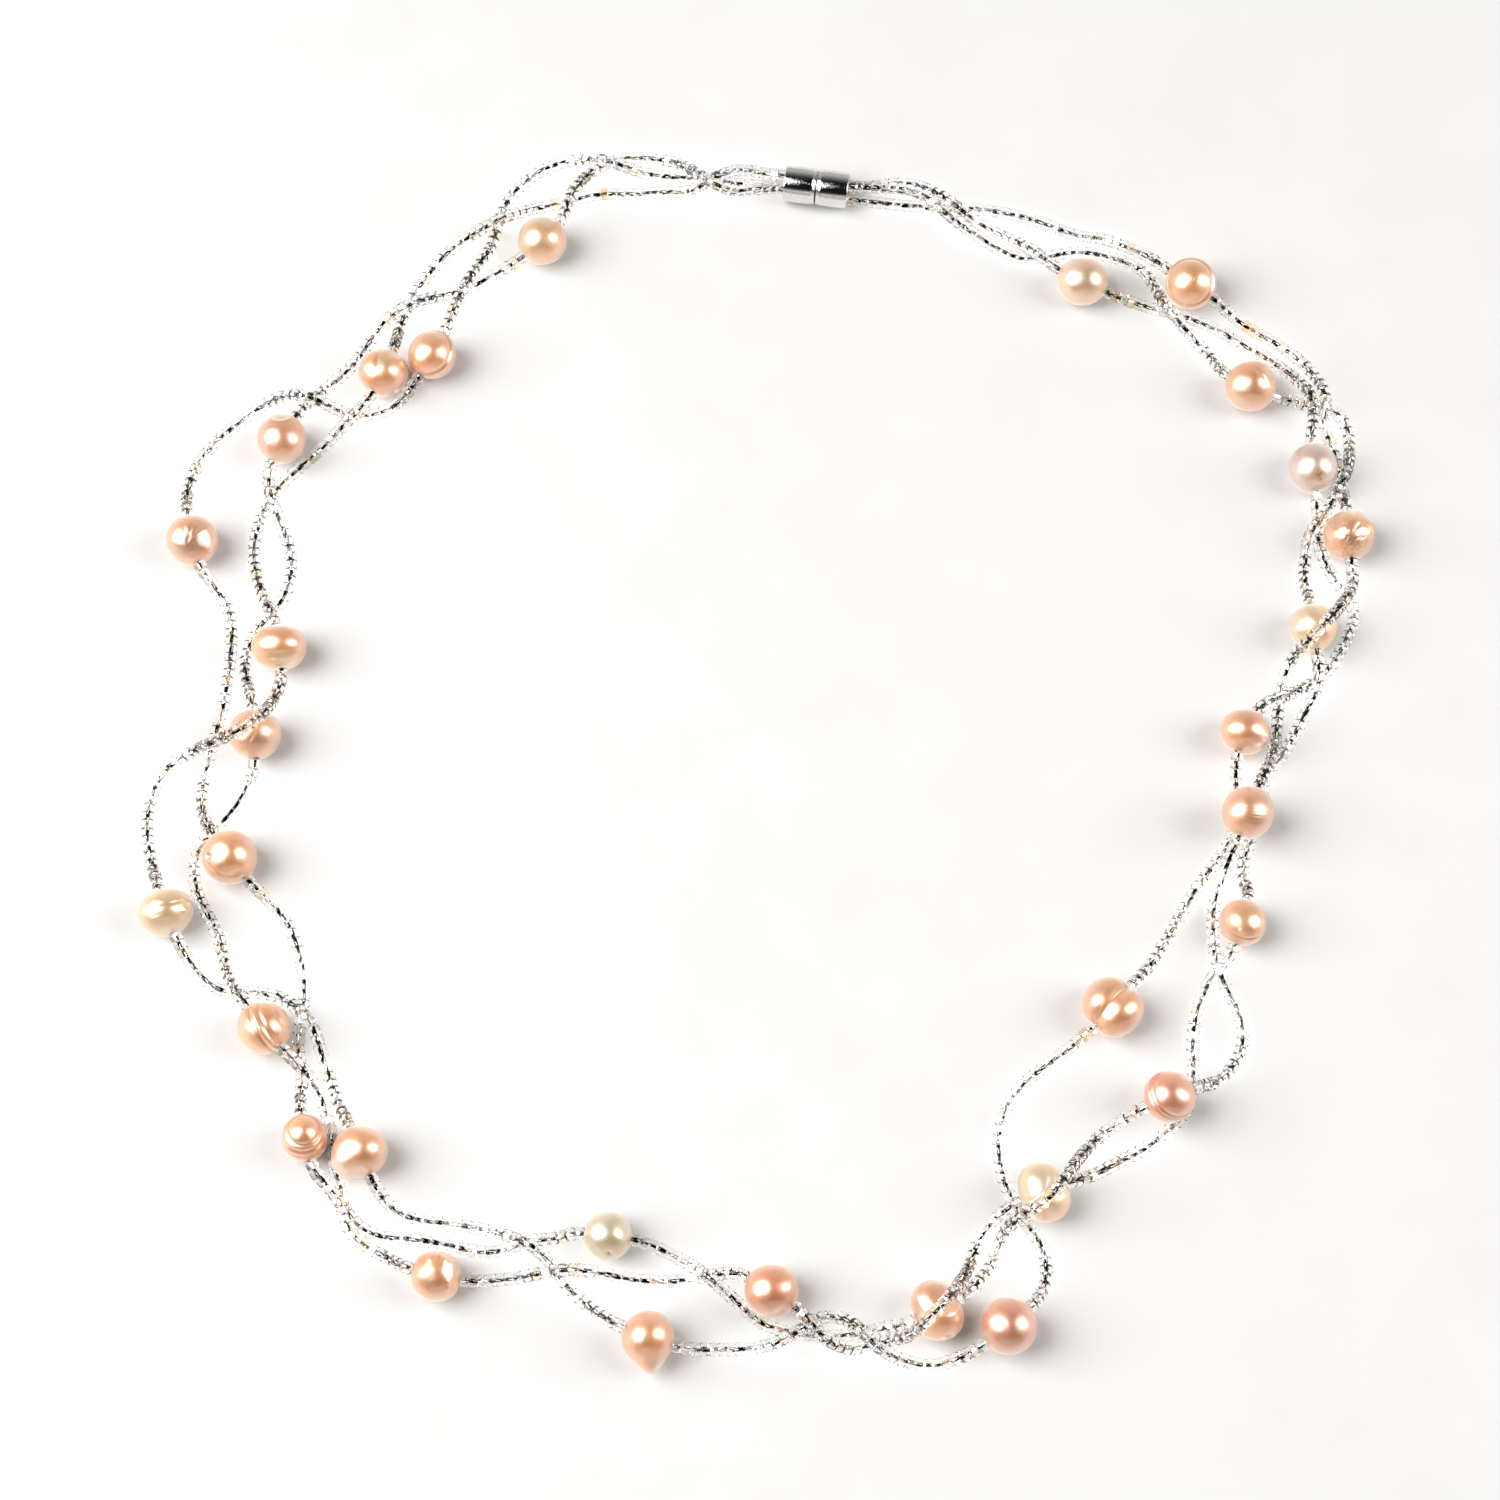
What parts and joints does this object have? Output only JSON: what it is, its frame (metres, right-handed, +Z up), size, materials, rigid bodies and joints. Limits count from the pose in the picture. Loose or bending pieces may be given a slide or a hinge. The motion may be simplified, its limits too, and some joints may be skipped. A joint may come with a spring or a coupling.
{
  "type": "pearl necklace",
  "caption": "Three-strand necklace of baroque pearls and clear glass seed beads with a barrel-shaped magnetic clasp, lying in a closed ring.",
  "frame": {"origin": "centre of the ring's bounding rectangle, on the surface it lies on", "axes": "+Z up, +Y towards the clasp, +X to the right as seen from above"},
  "size_m": [0.1932, 0.2027, 0.0105],
  "materials": {
    "pearl": "pearly",
    "seed_bead": "clear, silver-lined",
    "thread": "waxed thread",
    "clasp": "polished",
    "glue": "cured resin",
    "magnet": "nickel plated"
  },
  "bodies": {
    "left_side": {"clasp_shell_left": "clasp", "clasp_plug_left": "glue", "clasp_magnet_left": "magnet", "thread_a_1": "thread", "thread_b_1": "thread", "thread_c_1": "thread", "seed_beads_a_1": "seed_bead", "seed_beads_b_1": "seed_bead", "seed_beads_c_1": "seed_bead", "pearl_01": "pearl", "pearl_02": "pearl", "pearl_03": "pearl", "pearl_04": "pearl", "pearl_05": "pearl", "pearl_06": "pearl", "pearl_07": "pearl", "pearl_08": "pearl", "pearl_09": "pearl", "pearl_10": "pearl"},
    "lower_left_side": {"thread_a_2": "thread", "thread_b_2": "thread", "thread_c_2": "thread", "seed_beads_a_2": "seed_bead", "seed_beads_b_2": "seed_bead", "seed_beads_c_2": "seed_bead", "pearl_11": "pearl", "pearl_12": "pearl", "pearl_13": "pearl", "pearl_14": "pearl", "pearl_15": "pearl", "pearl_16": "pearl"},
    "lower_right_side": {"thread_a_3": "thread", "thread_b_3": "thread", "thread_c_3": "thread", "seed_beads_a_3": "seed_bead", "seed_beads_b_3": "seed_bead", "seed_beads_c_3": "seed_bead", "pearl_17": "pearl", "pearl_18": "pearl", "pearl_19": "pearl", "pearl_20": "pearl", "pearl_21": "pearl", "pearl_22": "pearl"},
    "right_side": {"thread_a_4": "thread", "thread_b_4": "thread", "thread_c_4": "thread", "seed_beads_a_4": "seed_bead", "seed_beads_b_4": "seed_bead", "seed_beads_c_4": "seed_bead", "pearl_23": "pearl", "pearl_24": "pearl", "pearl_25": "pearl", "pearl_26": "pearl", "pearl_27": "pearl", "pearl_28": "pearl", "pearl_29": "pearl", "pearl_30": "pearl"},
    "clasp_right_half": {"clasp_shell_right": "clasp", "clasp_plug_right": "glue", "clasp_magnet_right": "magnet"}
  },
  "joints": [
    {"name": "bend_lower_left", "type": "hinge", "parent": "left_side", "child": "lower_left_side", "pos_m": [-0.0723, -0.0578, 0], "axis": [0, 0, -1], "range_deg": [0, 45]},
    {"name": "bend_bottom", "type": "hinge", "parent": "lower_left_side", "child": "lower_right_side", "pos_m": [0.0104, -0.1, 0], "axis": [0, 0, -1], "range_deg": [0, 45]},
    {"name": "bend_right", "type": "hinge", "parent": "lower_right_side", "child": "right_side", "pos_m": [0.0765, -0.0271, 0], "axis": [0, 0, -1], "range_deg": [0, 45]},
    {"name": "clasp_twist", "type": "hinge", "parent": "right_side", "child": "clasp_right_half", "pos_m": [0.00867, 0.09397, 0.003], "axis": [0.9903, -0.1392, 0], "range_deg": [-90, 90]}
  ]
}
